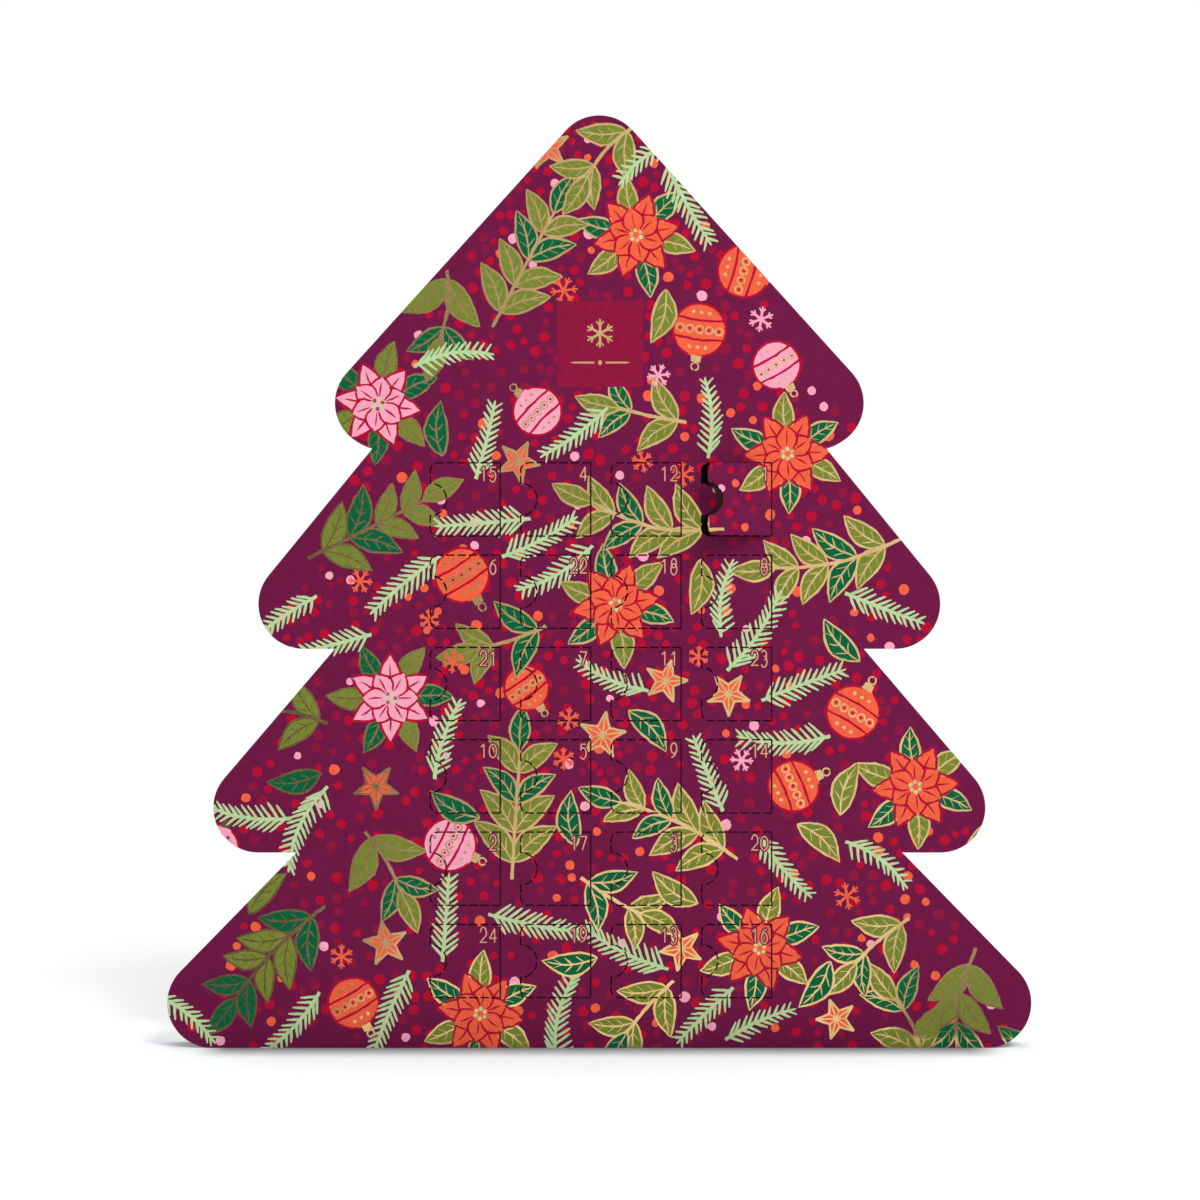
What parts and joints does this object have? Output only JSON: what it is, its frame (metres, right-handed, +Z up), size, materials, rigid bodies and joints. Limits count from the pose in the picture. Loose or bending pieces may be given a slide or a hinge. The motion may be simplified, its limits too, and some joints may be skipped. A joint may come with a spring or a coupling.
{
  "type": "chocolate advent calendar",
  "caption": "Tree-shaped carton with perforated, numbered doors that open onto a moulded tray of chocolates.",
  "frame": {"origin": "middle of the flat face that the carton stands on", "axes": "+X to the right as the printed front is seen, +Y from the printed front to the back, +Z up"},
  "size_m": [0.3716, 0.0292, 0.401],
  "materials": {
    "printed_board": "satin",
    "side_board": "satin",
    "back_board": "matte",
    "tray_plastic": "gloss",
    "chocolate": "satin"
  },
  "bodies": {
    "carton": {"front_panel": "printed_board", "side_wall": "side_board", "back_panel": "back_board", "tray_row_1": "tray_plastic", "tray_row_2": "tray_plastic", "tray_row_3": "tray_plastic", "tray_row_4": "tray_plastic", "tray_row_5": "tray_plastic", "tray_row_6": "tray_plastic", "chocolate_01": "chocolate", "chocolate_02": "chocolate", "chocolate_03": "chocolate", "chocolate_04": "chocolate", "chocolate_05": "chocolate", "chocolate_06": "chocolate", "chocolate_07": "chocolate", "chocolate_08": "chocolate", "chocolate_09": "chocolate", "chocolate_10": "chocolate", "chocolate_11": "chocolate", "chocolate_12": "chocolate", "chocolate_13": "chocolate", "chocolate_14": "chocolate", "chocolate_15": "chocolate", "chocolate_16": "chocolate", "chocolate_17": "chocolate", "chocolate_18": "chocolate", "chocolate_19": "chocolate", "chocolate_20": "chocolate", "chocolate_21": "chocolate", "chocolate_22": "chocolate", "chocolate_23": "chocolate", "chocolate_24": "chocolate"},
    "door_01": {"door_01": "printed_board"},
    "door_02": {"door_02": "printed_board"},
    "door_03": {"door_03": "printed_board"},
    "door_04": {"door_04": "printed_board"},
    "door_05": {"door_05": "printed_board"},
    "door_06": {"door_06": "printed_board"},
    "door_07": {"door_07": "printed_board"},
    "door_08": {"door_08": "printed_board"},
    "door_09": {"door_09": "printed_board"},
    "door_10": {"door_10": "printed_board"},
    "door_11": {"door_11": "printed_board"},
    "door_12": {"door_12": "printed_board"},
    "door_13": {"door_13": "printed_board"},
    "door_14": {"door_14": "printed_board"},
    "door_15": {"door_15": "printed_board"},
    "door_16": {"door_16": "printed_board"},
    "door_17": {"door_17": "printed_board"},
    "door_18": {"door_18": "printed_board"},
    "door_19": {"door_19": "printed_board"},
    "door_20": {"door_20": "printed_board"},
    "door_21": {"door_21": "printed_board"},
    "door_22": {"door_22": "printed_board"},
    "door_23": {"door_23": "printed_board"},
    "door_24": {"door_24": "printed_board"}
  },
  "joints": [
    {"name": "door_01_crease", "type": "hinge", "parent": "carton", "child": "door_01", "pos_m": [0.0741, -0.009, 0.23585], "axis": [0, 0, 1], "range_deg": [-22, 98]},
    {"name": "door_02_crease", "type": "hinge", "parent": "carton", "child": "door_02", "pos_m": [-0.0426, -0.009, 0.07705], "axis": [0, 0, 1], "range_deg": [0, 120]},
    {"name": "door_03_crease", "type": "hinge", "parent": "carton", "child": "door_03", "pos_m": [0.0352, -0.009, 0.07705], "axis": [0, 0, 1], "range_deg": [0, 120]},
    {"name": "door_04_crease", "type": "hinge", "parent": "carton", "child": "door_04", "pos_m": [-0.0037, -0.009, 0.23585], "axis": [0, 0, 1], "range_deg": [0, 120]},
    {"name": "door_05_crease", "type": "hinge", "parent": "carton", "child": "door_05", "pos_m": [-0.0037, -0.009, 0.11675], "axis": [0, 0, 1], "range_deg": [0, 120]},
    {"name": "door_06_crease", "type": "hinge", "parent": "carton", "child": "door_06", "pos_m": [-0.0426, -0.009, 0.19615], "axis": [0, 0, 1], "range_deg": [0, 120]},
    {"name": "door_07_crease", "type": "hinge", "parent": "carton", "child": "door_07", "pos_m": [-0.0037, -0.009, 0.15645], "axis": [0, 0, 1], "range_deg": [0, 120]},
    {"name": "door_08_crease", "type": "hinge", "parent": "carton", "child": "door_08", "pos_m": [0.0741, -0.009, 0.19615], "axis": [0, 0, 1], "range_deg": [0, 120]},
    {"name": "door_09_crease", "type": "hinge", "parent": "carton", "child": "door_09", "pos_m": [0.0352, -0.009, 0.11675], "axis": [0, 0, 1], "range_deg": [0, 120]},
    {"name": "door_10_crease", "type": "hinge", "parent": "carton", "child": "door_10", "pos_m": [-0.0426, -0.009, 0.11675], "axis": [0, 0, 1], "range_deg": [0, 120]},
    {"name": "door_11_crease", "type": "hinge", "parent": "carton", "child": "door_11", "pos_m": [0.0352, -0.009, 0.15645], "axis": [0, 0, 1], "range_deg": [0, 120]},
    {"name": "door_12_crease", "type": "hinge", "parent": "carton", "child": "door_12", "pos_m": [0.0352, -0.009, 0.23585], "axis": [0, 0, 1], "range_deg": [0, 120]},
    {"name": "door_13_crease", "type": "hinge", "parent": "carton", "child": "door_13", "pos_m": [0.0352, -0.009, 0.03735], "axis": [0, 0, 1], "range_deg": [0, 120]},
    {"name": "door_14_crease", "type": "hinge", "parent": "carton", "child": "door_14", "pos_m": [0.0741, -0.009, 0.11675], "axis": [0, 0, 1], "range_deg": [0, 120]},
    {"name": "door_15_crease", "type": "hinge", "parent": "carton", "child": "door_15", "pos_m": [-0.0426, -0.009, 0.23585], "axis": [0, 0, 1], "range_deg": [0, 120]},
    {"name": "door_16_crease", "type": "hinge", "parent": "carton", "child": "door_16", "pos_m": [0.0741, -0.009, 0.03735], "axis": [0, 0, 1], "range_deg": [0, 120]},
    {"name": "door_17_crease", "type": "hinge", "parent": "carton", "child": "door_17", "pos_m": [-0.0037, -0.009, 0.07705], "axis": [0, 0, 1], "range_deg": [0, 120]},
    {"name": "door_18_crease", "type": "hinge", "parent": "carton", "child": "door_18", "pos_m": [0.0352, -0.009, 0.19615], "axis": [0, 0, 1], "range_deg": [0, 120]},
    {"name": "door_19_crease", "type": "hinge", "parent": "carton", "child": "door_19", "pos_m": [-0.0037, -0.009, 0.03735], "axis": [0, 0, 1], "range_deg": [0, 120]},
    {"name": "door_20_crease", "type": "hinge", "parent": "carton", "child": "door_20", "pos_m": [0.0741, -0.009, 0.07705], "axis": [0, 0, 1], "range_deg": [0, 120]},
    {"name": "door_21_crease", "type": "hinge", "parent": "carton", "child": "door_21", "pos_m": [-0.0426, -0.009, 0.15645], "axis": [0, 0, 1], "range_deg": [0, 120]},
    {"name": "door_22_crease", "type": "hinge", "parent": "carton", "child": "door_22", "pos_m": [-0.0037, -0.009, 0.19615], "axis": [0, 0, 1], "range_deg": [0, 120]},
    {"name": "door_23_crease", "type": "hinge", "parent": "carton", "child": "door_23", "pos_m": [0.0741, -0.009, 0.15645], "axis": [0, 0, 1], "range_deg": [0, 120]},
    {"name": "door_24_crease", "type": "hinge", "parent": "carton", "child": "door_24", "pos_m": [-0.0426, -0.009, 0.03735], "axis": [0, 0, 1], "range_deg": [0, 120]}
  ]
}
